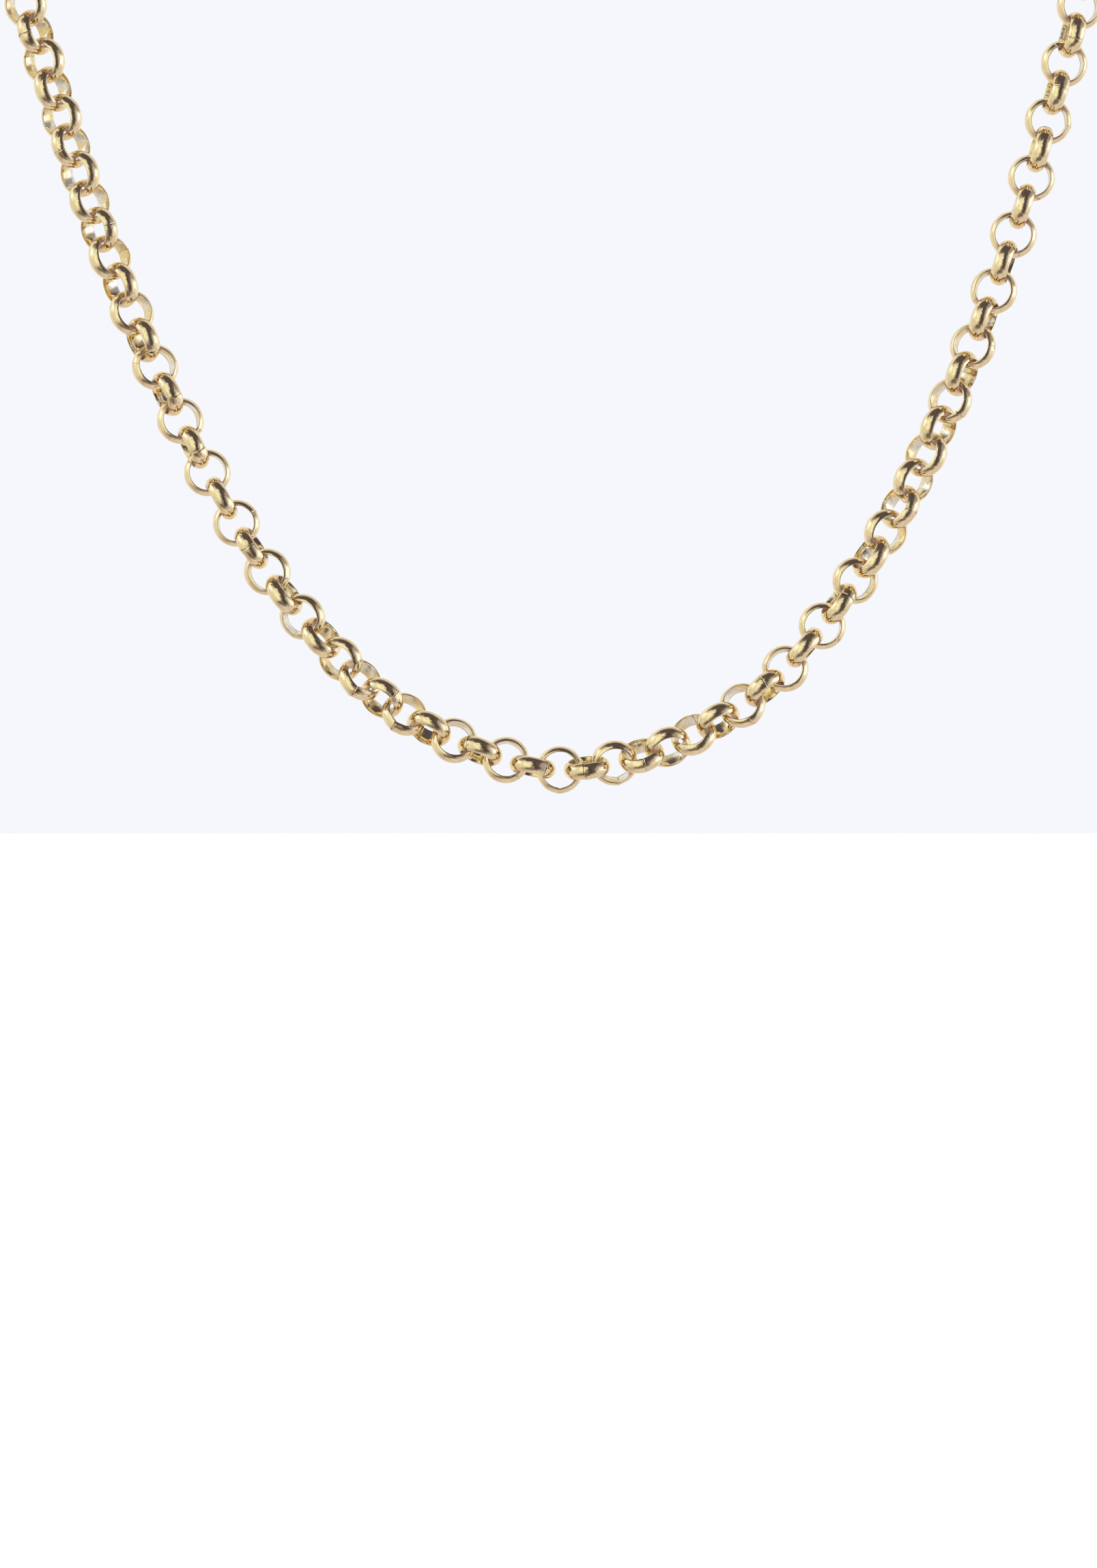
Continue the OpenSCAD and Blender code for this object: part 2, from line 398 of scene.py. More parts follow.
# %% Put one link at each place, turned so that its joint is on the right side
turn = add(links_tree, "FunctionNodeAxesToRotation", {
    "Primary Axis": carried["axis"], "Secondary Axis": carried["joint_side"]},
    primary_axis="Z", secondary_axis="X")
copies = add(links_tree, "GeometryNodeInstanceOnPoints", {
    "Points": given["Places"], "Instance": one_link, "Rotation": turn})
realized = add(links_tree, "GeometryNodeRealizeInstances", {"Geometry": copies})
print("So far the tree has", len(links_tree.nodes), "nodes")

# %% Straight ends: near the joint the ring follows its tangent, so its radius grows by 1 / cos
ring_place = carried["ring_place"]
ring_parts = add(links_tree, "ShaderNodeSeparateXYZ", {0: ring_place})
ring_angle = add(links_tree, "ShaderNodeMath", {
    0: ring_parts.outputs["Y"], 1: ring_parts.outputs["X"]}, operation="ARCTAN2")
from_joint = add(links_tree, "ShaderNodeMath", {0: ring_angle}, operation="ABSOLUTE")
straight_left = add(links_tree, "ShaderNodeMath", {
    0: carried["straight"], 1: from_joint}, operation="SUBTRACT", use_clamp=True)
cosine = add(links_tree, "ShaderNodeMath", {0: straight_left}, operation="COSINE")
growth = add(links_tree, "ShaderNodeMath", {0: 1.0, 1: cosine}, operation="DIVIDE")
extra_growth = add(links_tree, "ShaderNodeMath", {0: growth, 1: 1.0}, operation="SUBTRACT")
in_plane = add(links_tree, "ShaderNodeVectorMath", {0: ring_place, 1: (1.0, 1.0, 0.0)}, operation="MULTIPLY")
radius = add(links_tree, "ShaderNodeVectorMath", {0: in_plane}, operation="LENGTH").outputs["Value"]
crown_radius = add(links_tree, "ShaderNodeMath", {0: given["Bore radius"], 1: given["Wall"]}, operation="ADD")
kept = add(links_tree, "ShaderNodeMapRange", {
    "Value": radius, "From Min": given["Bore radius"], "From Max": crown_radius,
    "To Min": 1.0, "To Max": given["Straightness kept at the crown"]})
kept_growth = add(links_tree, "ShaderNodeMath", {0: extra_growth, 1: kept}, operation="MULTIPLY")
outwards = add(links_tree, "ShaderNodeVectorMath", {0: in_plane, "Scale": kept_growth}, operation="SCALE")
towards_joint = add(links_tree, "ShaderNodeVectorMath", {
    0: ring_place, 1: (1.0, 0.0, 0.0)}, operation="MULTIPLY")
stretched = add(links_tree, "ShaderNodeVectorMath", {
    0: towards_joint, "Scale": carried["oval"]}, operation="SCALE")
corner_growth = bore_radius * (1 / math.cos(math.radians(longest_end)) - 1)
print("The strongest corner deepens the bore by", round(corner_growth / MM, 2), "mm")

# %% Misfit: the two ends stand a hair out of line, sideways and outwards, which fades out round the ring
fade = add(links_tree, "ShaderNodeMapRange", {
    "Value": from_joint, "From Max": given["Reach of the misfit"], "To Min": 1.0, "To Max": 0.0},
    interpolation_type="SMOOTHSTEP")
end_side = add(links_tree, "ShaderNodeMath", {0: ring_angle}, operation="SIGN")
faded_side = add(links_tree, "ShaderNodeMath", {0: end_side, 1: fade}, operation="MULTIPLY")
end_shift = add(links_tree, "ShaderNodeMath", {0: carried["misfit"], 1: faded_side}, operation="MULTIPLY")
end_step = add(links_tree, "ShaderNodeMath", {0: carried["step"], 1: faded_side}, operation="MULTIPLY")
sideways = add(links_tree, "ShaderNodeCombineXYZ", {0: end_step, 2: end_shift})
print("The ends stand out of line by up to", MISFIT, "mm sideways and", STEP, "mm outwards")

# %% Dents move the surface along its own normal
# A noise texture seldom leaves this range, so it is taken as the noise's low and high end
NOISE_LOW, NOISE_HIGH = 0.3, 0.7
own_noise = add(links_tree, "ShaderNodeMath", {0: carried["number"], 1: given["Seed"]}, operation="MULTIPLY")
dent_scale = add(links_tree, "ShaderNodeMath", {0: 1.0, 1: given["Dent size"]}, operation="DIVIDE")
dents = add(links_tree, "ShaderNodeTexNoise", {
    "Vector": ring_place, "W": own_noise, "Scale": dent_scale, "Detail": 1.0}, noise_dimensions="4D")
dent_share = add(links_tree, "ShaderNodeMapRange", {
    "Value": dents.outputs[0], "From Min": NOISE_LOW, "From Max": NOISE_HIGH, "To Min": -1.0, "To Max": 1.0})
dent_depth = add(links_tree, "ShaderNodeMapRange", {
    "Value": from_joint, "From Max": given["Reach of the joint's dents"],
    "To Min": given["Dent depth at the joint"], "To Max": given["Dent depth"]},
    interpolation_type="SMOOTHSTEP")
dent_height = add(links_tree, "ShaderNodeMath", {0: dent_share, 1: dent_depth}, operation="MULTIPLY")
print("Dents are", round(link_inputs["Dent size"][1] / MM, 2), "mm wide")

# %% The joint is a groove, as deep as the link's own number says
at_joint = add(links_tree, "ShaderNodeMath", {
    0: from_joint, 1: given["Joint half width"]}, operation="LESS_THAN")
joint_depth = add(links_tree, "ShaderNodeMath", {
    0: carried["gape"], 1: given["Joint depth"]}, operation="MULTIPLY")
joint_drop = add(links_tree, "ShaderNodeMath", {0: at_joint, 1: joint_depth}, operation="MULTIPLY")
height = add(links_tree, "ShaderNodeMath", {0: dent_height, 1: joint_drop}, operation="SUBTRACT")
normal = add(links_tree, "GeometryNodeInputNormal")
along_normal = add(links_tree, "ShaderNodeVectorMath", {0: normal, "Scale": height}, operation="SCALE")
print("A joint of the usual depth goes", round(link_inputs["Joint depth"][1] / MM, 2), "mm in")

# %% Add the movements up, mark what the metal has to know, and finish the mesh
round_ring = add(links_tree, "ShaderNodeVectorMath", {0: outwards, 1: sideways}, operation="ADD")
out_of_round = add(links_tree, "ShaderNodeVectorMath", {0: round_ring, 1: stretched}, operation="ADD")
turned = add(links_tree, "FunctionNodeRotateVector", {"Vector": out_of_round, "Rotation": turn})
movement = add(links_tree, "ShaderNodeVectorMath", {0: turned, 1: along_normal}, operation="ADD")
bent = add(links_tree, "GeometryNodeSetPosition", {"Geometry": realized, "Offset": movement})
near_joint = add(links_tree, "ShaderNodeMapRange", {
    "Value": from_joint, "From Max": given["Reach of the joint's residue"], "To Min": 1.0, "To Max": 0.0},
    interpolation_type="SMOOTHSTEP")
marked = bent
for name, value in [("near_joint", near_joint), ("groove", at_joint)]:
    marked = add(links_tree, "GeometryNodeStoreNamedAttribute", {
        "Geometry": marked, "Name": name, "Value": value}, data_type="FLOAT", domain="POINT")
smooth = add(links_tree, "GeometryNodeSetShadeSmooth", {"Geometry": marked})
painted = add(links_tree, "GeometryNodeSetMaterial", {"Geometry": smooth, "Material": given["Metal"]})
add(links_tree, "NodeGroupOutput", {0: painted})
print("The tree has", len(links_tree.nodes), "nodes")

# %% [markdown]
# ## The metal
# The chain is polished yellow gold, or a thick plating of it. Polished means that it has hardly a colour of
# its own: it shows the room, dyed yellow, and where two links face each other they dye it twice, which is
# why the crevices glow orange. A tint that is too strong shows there first.
#
# What gives polished metal its life is that the polish isn't even. It is cloudy and softly rippled, so that
# straight reflections waver, and the buff leaves faint lines that run round the band. The buff doesn't reach
# the bore, where the plating is thin and paler metal shows through. The crevice at each hook gets a painted
# brown shade, for the shade that falls between the links. Dark residue stays beside the joint.
#
# All this could be painted on a picture. Noise on the object's own coordinates needs none, and differs from
# link to link by itself. What follows the band reads the attributes that the links carry.

# %% Sizes of the polish
# A buff's real lines are about 0.02 mm apart. They are drawn wider, so that they show at all.
BUFF_LINE_WIDTH = 0.14 * MM
BUFF_LINE_DEPTH = 0.0012 * MM
BUFF_LINE_STRETCH = 0.08
CLOUD_SIZE = 1.6 * MM
PATCH_SIZE = 1.8 * MM
RIPPLE_SIZE = 0.55 * MM
RIPPLE_DEPTH = 0.014 * MM
SPOT_SIZE = 0.3 * MM
SPOT_DEPTH = 0.005 * MM
print("The buff's lines are drawn", round(BUFF_LINE_WIDTH / MM, 2), "mm apart")

# %% Start the gold with what each point of a link carries
gold = bpy.data.materials.new("polished yellow gold")
gold_tree = empty_tree(gold)
own_place = add(gold_tree, "ShaderNodeTexCoord").outputs["Object"]
flat_place = add(gold_tree, "ShaderNodeAttribute", attribute_name="ring_place").outputs["Vector"]
joint, groove, crevice = [
    add(gold_tree, "ShaderNodeAttribute", attribute_name=name).outputs["Fac"]
    for name in ("near_joint", "groove", "crevice")]
print("The gold starts from", len(gold_tree.nodes), "nodes that read the mesh")

# %% Tell the bore from the dome by the distance from the ring's axis
BORE_BEGINS = 0.06 * MM
BORE_IS_FULL = 0.02 * MM
in_flat_plane = add(gold_tree, "ShaderNodeVectorMath", {
    0: flat_place, 1: (1.0, 1.0, 0.0)}, operation="MULTIPLY")
from_axis = add(gold_tree, "ShaderNodeVectorMath", {0: in_flat_plane}, operation="LENGTH").outputs["Value"]
bore = add(gold_tree, "ShaderNodeMapRange", {
    "Value": from_axis, "From Min": bore_radius + BORE_BEGINS, "From Max": bore_radius + BORE_IS_FULL})
print("The bore begins", round(BORE_BEGINS / MM, 2), "mm outside its flat")

# %% The colour of the clouded dome, and of the thin plating in the bore
# A Mix node for colours takes its share at input 0 and the colours at 6 and 7, and gives the mix at output 2
CLOUD_COLOURS = ("#F8E6C3", "#FDF0D4")
PLATING, BARE_METAL = "#F3DFB2", "#F0EFEF"
THIN_FROM, THIN_TO = 0.45, 0.62
cloud = add(gold_tree, "ShaderNodeTexNoise", {"Vector": own_place, "Scale": 1 / CLOUD_SIZE, "Detail": 2.0})
shade = add(gold_tree, "ShaderNodeMix", {
    0: cloud.outputs[0], 6: linear(CLOUD_COLOURS[0]), 7: linear(CLOUD_COLOURS[1])}, data_type="RGBA")
patches = add(gold_tree, "ShaderNodeTexNoise", {"Vector": own_place, "Scale": 1 / PATCH_SIZE, "Detail": 1.0})
thin = add(gold_tree, "ShaderNodeMapRange", {
    "Value": patches.outputs[0], "From Min": THIN_FROM, "From Max": THIN_TO})
plated = add(gold_tree, "ShaderNodeMix", {
    0: thin, 6: linear(PLATING), 7: linear(BARE_METAL)}, data_type="RGBA")
inside = add(gold_tree, "ShaderNodeMix", {
    0: bore, 6: shade.outputs[2], 7: plated.outputs[2]}, data_type="RGBA")
print("The dome goes from", " to ".join(CLOUD_COLOURS), "and the bore from", PLATING, "to", BARE_METAL)

# %% The painted brown shade in the crevice, where the links hang in each other
# This colour is painted shade: the shade between the links, painted darker and browner the nearer the next
# link is
PAINTED_SHADE = "#C89B82"
PAINTED_SHADE_FROM, PAINTED_SHADE_TO = 0.12, 0.78
painted_shade = add(gold_tree, "ShaderNodeMapRange", {
    "Value": crevice, "From Min": PAINTED_SHADE_FROM, "From Max": PAINTED_SHADE_TO}, interpolation_type="SMOOTHSTEP")
with_painted_shade = add(gold_tree, "ShaderNodeMix", {
    0: painted_shade, 6: inside.outputs[2], 7: linear(PAINTED_SHADE)}, data_type="RGBA")
# The shade painted in the crevice turns the gold to this colour
print("The film turns the gold to", PAINTED_SHADE)

# %% Spots of residue beside the joint, fewer of them in the bore
RESIDUE = "#8E6A3C"
SPOTS_FROM, SPOTS_TO = 0.56, 0.68
BESIDE_FROM, BESIDE_TO = 0.72, 0.95
SPOTS_LEFT_IN_BORE = 0.35
spots = add(gold_tree, "ShaderNodeTexNoise", {"Vector": own_place, "Scale": 1 / SPOT_SIZE, "Detail": 2.0})
spotted = add(gold_tree, "ShaderNodeMapRange", {
    "Value": spots.outputs[0], "From Min": SPOTS_FROM, "From Max": SPOTS_TO})
beside_joint = add(gold_tree, "ShaderNodeMapRange", {
    "Value": joint, "From Min": BESIDE_FROM, "From Max": BESIDE_TO})
on_dome = add(gold_tree, "ShaderNodeMapRange", {
    "Value": bore, "To Min": 1.0, "To Max": SPOTS_LEFT_IN_BORE})
spots_there = add(gold_tree, "ShaderNodeMath", {0: spotted, 1: beside_joint}, operation="MULTIPLY")
residue = add(gold_tree, "ShaderNodeMath", {0: spots_there, 1: on_dome}, operation="MULTIPLY")
stained = add(gold_tree, "ShaderNodeMix", {
    0: residue, 6: with_painted_shade.outputs[2], 7: linear(RESIDUE)}, data_type="RGBA")
print("Residue is", RESIDUE, "in spots of", round(SPOT_SIZE / MM, 2), "mm")

# %% The joint's own line, which is dark in some places only
SEAM = "#3A2412"
BROKEN_FROM, BROKEN_TO = 0.45, 0.58
FAINTEST_SEAM = 0.15
broken = add(gold_tree, "ShaderNodeMapRange", {
    "Value": spots.outputs[0], "From Min": BROKEN_FROM, "From Max": BROKEN_TO,
    "To Min": FAINTEST_SEAM, "To Max": 1.0})
seam = add(gold_tree, "ShaderNodeMath", {0: groove, 1: broken}, operation="MULTIPLY")
dulled = add(gold_tree, "ShaderNodeMix", {
    0: seam, 6: stained.outputs[2], 7: linear(SEAM)}, data_type="RGBA")
print("The joint's line is", SEAM, "at its darkest")

# %% Roughness: nearly a mirror, with a share added wherever the buff didn't reach
MIRROR_FROM, MIRROR_TO = 0.035, 0.08
DULLER_AT_JOINT = 0.05
DULLER_IN_BORE = 0.05
DULLER_UNDER_PAINTED_SHADE = 0.33
DULLER_IN_SEAM = 0.4
rough = add(gold_tree, "ShaderNodeMapRange", {
    "Value": cloud.outputs[0], "From Min": NOISE_LOW, "From Max": NOISE_HIGH,
    "To Min": MIRROR_FROM, "To Max": MIRROR_TO})
for where, duller in [
    (joint, DULLER_AT_JOINT), (bore, DULLER_IN_BORE), (painted_shade, DULLER_UNDER_PAINTED_SHADE), (seam, DULLER_IN_SEAM)
]:
    rough = add(gold_tree, "ShaderNodeMath", {0: where, 1: duller, 2: rough}, operation="MULTIPLY_ADD")
print("The polish has a roughness of", MIRROR_FROM, "to", MIRROR_TO)

# %% Relief: the buff's lines, which are noise drawn out round the band, then ripples, then residue
MARKS_FADE_FROM, MARKS_FADE_TO = 0.05, 0.5
MARKS_LEFT_IN_CREVICE = 0.1
parts = add(gold_tree, "ShaderNodeSeparateXYZ", {0: flat_place}).outputs
angle = add(gold_tree, "ShaderNodeMath", {0: parts["Y"], 1: parts["X"]}, operation="ARCTAN2")
along = add(gold_tree, "ShaderNodeMath", {
    0: angle, 1: BUFF_LINE_STRETCH * link_radius}, operation="MULTIPLY")
line_place = add(gold_tree, "ShaderNodeCombineXYZ", {0: along, 1: from_axis, 2: parts["Z"]})
lines = add(gold_tree, "ShaderNodeTexNoise", {
    "Vector": line_place, "Scale": 1 / BUFF_LINE_WIDTH, "Detail": 1.0})
ripples = add(gold_tree, "ShaderNodeTexNoise", {
    "Vector": own_place, "Scale": 1 / RIPPLE_SIZE, "Detail": 1.0})
buffed = add(gold_tree, "ShaderNodeMapRange", {
    "Value": crevice, "From Min": MARKS_FADE_FROM, "From Max": MARKS_FADE_TO,
    "To Min": 1.0, "To Max": MARKS_LEFT_IN_CREVICE})
faint_lines = add(gold_tree, "ShaderNodeBump", {
    "Height": lines.outputs[0], "Distance": BUFF_LINE_DEPTH, "Strength": buffed})
rippled = add(gold_tree, "ShaderNodeBump", {
    "Height": ripples.outputs[0], "Distance": RIPPLE_DEPTH, "Strength": buffed, "Normal": faint_lines})
relief = add(gold_tree, "ShaderNodeBump", {
    "Height": residue, "Distance": SPOT_DEPTH, "Strength": 1.0, "Normal": rippled})
print("Ripples are", round(RIPPLE_DEPTH / MM, 3), "mm deep")

# %% Put the gold together. Under the painted shade it is only half a metal to the eye.
METAL_UNDER_PAINTED_SHADE = 0.5
metallic = add(gold_tree, "ShaderNodeMapRange", {"Value": painted_shade, "To Min": 1.0, "To Max": METAL_UNDER_PAINTED_SHADE})
shader = add(gold_tree, "ShaderNodeBsdfPrincipled", {
    "Base Color": dulled.outputs[2], "Metallic": metallic, "Roughness": rough, "Normal": relief})
add(gold_tree, "ShaderNodeOutputMaterial", {"Surface": shader})
print("The gold has", len(gold_tree.nodes), "nodes")

# %% [markdown]
# ## Make the links
# The places go into a mesh of loose points, one for each ring, with the link's own numbers as attributes.
# The modifier is filled in before anything is evaluated, and each input is set by its identifier, because
# that is the name under which a modifier keeps it. A Weighted Normal modifier follows: it lets the large
# faces decide the shading, so the bore stays flat and the broken edges take the whole turn.

# %% A mesh of places, one point for each link of a node
def places_mesh(name, rings):
    """The rings' middles as loose points, with the rings' numbers as attributes."""
    mesh = bpy.data.meshes.new(name)
    mesh.from_pydata([ring["middle"] for ring in rings], [], [])
    for key in ("axis", "joint_side"):
        values = [number for ring in rings for number in ring[key]]
        mesh.attributes.new(key, "FLOAT_VECTOR", "POINT").data.foreach_set("vector", values)
    for key in ("straight", "misfit", "step", "gape", "oval", "number"):
        values = [float(ring[key]) for ring in rings]
        mesh.attributes.new(key, "FLOAT", "POINT").data.foreach_set("value", values)
    return mesh


print("Each link carries", ", ".join(key for key in chain[0] if key not in ("node", "middle", "radius")))

# %% Run the tree on each node's places
LARGE_FACES_WEIGHT = 60


def in_scene(name, data):
    """An object for a mesh or a camera, put into the scene."""
    made = bpy.data.objects.new(name, data)
    bpy.context.scene.collection.objects.link(made)
    return made


def make_links(name, node):
    """Runs the tree on one node's places and keeps the result as a plain mesh."""
    rings = [ring for ring in chain if ring["node"] == node]
    places = in_scene(name + "_places", places_mesh(name + "_places", rings))
    maker = places.modifiers.new("links", "NODES")
    maker.node_group = links_tree
    for identifier, value in link_inputs.values():
        if value is not None:
            maker[identifier] = value
    maker[link_inputs["Metal"][0]] = gold
    shading = places.modifiers.new("shading", "WEIGHTED_NORMAL")
    shading.weight = LARGE_FACES_WEIGHT
    graph = bpy.context.evaluated_depsgraph_get()
    mesh = bpy.data.meshes.new_from_object(
        places.evaluated_get(graph), preserve_all_data_layers=True, depsgraph=graph)
    mesh.name = name
    made = in_scene(name, mesh)
    bpy.data.objects.remove(places)
    triangles = sum(len(face.vertices) - 2 for face in mesh.polygons)
    print(name, "has", len(rings), "links in", triangles, "triangles")
    return made


facing = make_links("polished_facing_links", "facing_links")
crossing = make_links("polished_crossing_links", "crossing_links")

# %% [markdown]
# ## The crevices
# The painted shade sits where a link comes close to its neighbour, where shade falls between the links. A
# shader can't know how near the next link is, but a script can measure it once. A BVH tree finds the nearest
# point of a mesh quickly, and the result is stored on each point as one more attribute.

# %% Measure how deep each point sits in the crevice beside the other links
CREVICE_REACH = 0.7 * MM


def mark_crevices(piece, other):
    """Stores 0 on the points that the other piece is far from, up to 1 where it would touch."""
    nearest = BVHTree.FromPolygons(
        [vert.co for vert in other.data.vertices], [face.vertices for face in other.data.polygons])
    depths = []
    for vert in piece.data.vertices:
        distance = nearest.find_nearest(vert.co, CREVICE_REACH)[3]
        depths.append(0.0 if distance is None else 1 - distance / CREVICE_REACH)
    piece.data.attributes.new("crevice", "FLOAT", "POINT").data.foreach_set("value", depths)
    print(piece.name, "comes within", round((1 - max(depths)) * CREVICE_REACH / MM, 3), "mm of", other.name)


mark_crevices(facing, crossing)
mark_crevices(crossing, facing)

# %% Put the links in the frame
for piece, node in [(facing, "facing_links"), (crossing, "crossing_links")]:
    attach(piece, "root")
    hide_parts(node)
    print(piece.name, "takes the place of", node)

# %% [markdown]
# ## The clasp
# The bolt ring at the nape is out of the photograph's sight, so it is one plain piece: a round ring, a small
# eye and a thumb stud. The three are simple meshes that cut into one another. A voxel remesh melts them into
# one skin, and a little smoothing leaves the soft fillet that solder leaves in the corners. The frame's own
# box gives the sizes. The gold asks for a place round a ring, so the clasp stores one as well.

# %% Read the clasp's sizes from its box
clasp_radius = -clasp_low.z
tube_radius = (clasp_high.y - clasp_low.y) / 2
clasp_middle = Vector((clasp_high.x - clasp_radius, 0, 0))
EYE_BORE_RADIUS = 1.3 * MM
EYE_WIRE_RADIUS = 0.5 * MM
STUD_RADIUS = 0.5 * MM
STUD_HEIGHT = 0.9 * MM
STUD_ANGLE = math.radians(60)
eye_middle = Vector((clasp_low.x + EYE_BORE_RADIUS + 2 * EYE_WIRE_RADIUS, 0, 0))
print("The bolt ring is", round(2 * clasp_radius / MM, 2), "mm across")
print("Its tube is", round(2 * tube_radius / MM, 2), "mm thick")

# %% A torus, for the ring and for its eye
def add_torus(mesh, middle, mean_radius, wire_radius, around, section):
    """A torus round the Y axis."""
    loops = []
    for i in range(around):
        turn = 2 * math.pi * i / around
        outwards = Vector((math.cos(turn), 0, math.sin(turn)))
        loop = []
        for j in range(section):
            lean = 2 * math.pi * j / section
            reach = mean_radius + wire_radius * math.cos(lean)
            rise = Vector((0, wire_radius * math.sin(lean), 0))
            loop.append(mesh.verts.new(middle + outwards * reach + rise))
        loops.append(loop)
    for i in range(around):
        here = loops[i]
        there = loops[(i + 1) % around]
        for j in range(section):
            k = (j + 1) % section
            mesh.faces.new((here[j], here[k], there[k], there[j]))


# %% The three simple meshes: ring, eye and thumb stud
def clasp_parts():
    """The parts in one mesh, cutting into one another."""
    mesh = bmesh.new()
    add_torus(mesh, clasp_middle, clasp_radius - tube_radius, tube_radius, around=128, section=32)
    add_torus(mesh, eye_middle, EYE_BORE_RADIUS + EYE_WIRE_RADIUS, EYE_WIRE_RADIUS, around=96, section=24)
    depth = tube_radius + STUD_HEIGHT
    stud_way = Vector((math.cos(STUD_ANGLE), 0, math.sin(STUD_ANGLE)))
    stud_middle = clasp_middle + stud_way * (clasp_radius - tube_radius + depth / 2)
    turn = Vector((0, 0, 1)).rotation_difference(stud_way).to_matrix().to_4x4()
    bmesh.ops.create_cone(
        mesh, cap_ends=True, segments=32, radius1=STUD_RADIUS, radius2=STUD_RADIUS, depth=depth,
        matrix=Matrix.Translation(stud_middle) @ turn)
    made = bpy.data.meshes.new("clasp_parts")
    mesh.to_mesh(made)
    mesh.free()
    return made


# %% Melt them into one skin, and give the skin the gold and the place that the gold asks for
VOXEL = 0.08 * MM
SOLDER_ROUNDS = 6


def make_clasp():
    """The clasp as one smooth skin."""
    parts = in_scene("clasp_parts", clasp_parts())
    melted = parts.modifiers.new("one skin", "REMESH")
    melted.mode = "VOXEL"
    melted.voxel_size = VOXEL
    melted.use_smooth_shade = True
    soft = parts.modifiers.new("solder", "SMOOTH")
    soft.iterations = SOLDER_ROUNDS
    graph = bpy.context.evaluated_depsgraph_get()
    mesh = bpy.data.meshes.new_from_object(parts.evaluated_get(graph), depsgraph=graph)
    mesh.name = "polished_clasp"
    places = []
    for vert in mesh.vertices:
        away = vert.co - clasp_middle
        places.extend((away.x, away.z, away.y))
    mesh.attributes.new("ring_place", "FLOAT_VECTOR", "POINT").data.foreach_set("vector", places)
    mesh.materials.clear()
    mesh.materials.append(gold)
    made = in_scene("polished_clasp", mesh)
    bpy.data.objects.remove(parts)
    print("The clasp has", sum(len(face.vertices) - 2 for face in mesh.polygons), "triangles")
    return made


clasp = make_clasp()
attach(clasp, "root")
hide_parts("clasp")

# %% [markdown]
# ## The room
# Polished metal is a picture of its room, so the lighting is drawn as the room. The chain hung in a white
# tent. Each half-round link works like a convex mirror that shows nearly the whole of it, so the photograph
# tells where things stood: a lamp behind the cloth of each side wall, a tan table, a dark ceiling panel, and
# the dark slit that the tent leaves open in front. The slit draws the brown stripe on every dome.
#
# Area lights could stand in for the walls. A world that depends on direction alone does the same with no
# noise, and each surface of the room is one row of a table, painted over the rows before it.

# %% The walls and lamps, as the chain sees them
LAMPLIGHT = "#FBF7F0"
BACK_WALL = ("#FFFFFB", 0.93)
# Azimuth from and to, elevation from and to, and soft edge, in degrees, then colour and strength.
# Azimuth 0 is the side of the camera and 90 is the right.
WALLS = {
    "table": (-200, 200, -110, -22, 30, "#FFF6EE", 0.74),
    "shaded part of the table": (-115, -30, -66, -18, 44, "#FFF0DC", 0.5),
    "top of the back wall": (-200, 200, 42, 110, 22, "#FFF9EC", 0.83),
    "upper right part of the back wall": (104, 172, 20, 110, 26, "#FFFDF2", 0.78),
    "ceiling": (-200, 200, 66, 110, 24, "#FFEFD4", 0.48),
    "warm side of the tent": (-150, -40, -24, 46, 60, "#FFFDF0", 0.92),
    "left wall": (-64, -5, -23, 47, 12, "#FDFFEA", 0.88),
    "left wall under the lamp": (-112, -64, -24, 8, 16, "#FFFAE6", 0.82),
    "yellow reflector on the left": (-44, -12, -16, 24, 16, "#FAFFDE", 1.06),
    "lamp in the left wall": (-106, -64, 13, 30, 17, "#F6FAFF", 1.6),
    "cloth above the left lamp": (-102, -56, 40, 90, 16, "#FFEED0", 0.36),
    "lamp in the right wall": (73, 112, -10, 14, 15, "#F0F8FF", 1.7),
    "grey cloth over the right lamp": (40, 112, 20, 46, 16, "#FFF4F0", 0.38),
    "fold beside the slit": (34, 55, -46, 19, 12, "#FCFAFF", 0.37),
    "top of the slit": (-2, 50, 20, 62, 9, "#FFF0FC", 0.1),
    "foot of the slit": (-17, 10, -44, -20, 11, "#FFE8CC", 0.25),
    "post beside the slit": (-7, 5, -44, 12, 6, "#FFE8D0", 0.36),
    "slit in front": (2, 37, -42, 62, 7, "#FFF0F4", 0.12),
    "dark middle of the slit": (7, 26, -42, 46, 5, "#FFECF2", 0.085),
}
# The ceiling panel and the gap beyond the table lie in level planes, and their sides are given in heights:
# the right side's from and to with its soft edge, and the front side's from and to with its soft edge.
CEILING_PANEL = (-0.68, 1.1, 0.6, -0.18, 0.95, 0.4, "#FFE8F2", 0.105)
GAP_BEYOND_THE_TABLE = (-0.9, 0.45, 0.5, 0.5, 1.2, 0.35, "#FFEEDC", 0.18)
# The cloth hangs in folds, so no edge is straight and no wall is even
FOLD_SCALE = 4.5
FOLD_SWAY = 6.0
FOLD_SHADE = 0.18
print("The room has", len(WALLS), "walls and lamps and two level panels")

# %% Start the world, with the direction of view as azimuth and elevation
world = bpy.data.worlds.new("white tent with a dark slit")
room_tree = empty_tree(world)
direction = add(room_tree, "ShaderNodeTexCoord").outputs["Generated"]
right, back, up = add(room_tree, "ShaderNodeSeparateXYZ", {0: direction}).outputs
front = add(room_tree, "ShaderNodeMath", {0: back, 1: -1.0}, operation="MULTIPLY")
down = add(room_tree, "ShaderNodeMath", {0: up, 1: -1.0}, operation="MULTIPLY")
azimuth_angle = add(room_tree, "ShaderNodeMath", {0: right, 1: front}, operation="ARCTAN2")
elevation_angle = add(room_tree, "ShaderNodeMath", {0: up}, operation="ARCSINE")
straight_azimuth = add(room_tree, "ShaderNodeMath", {0: azimuth_angle}, operation="DEGREES")
elevation = add(room_tree, "ShaderNodeMath", {0: elevation_angle}, operation="DEGREES")
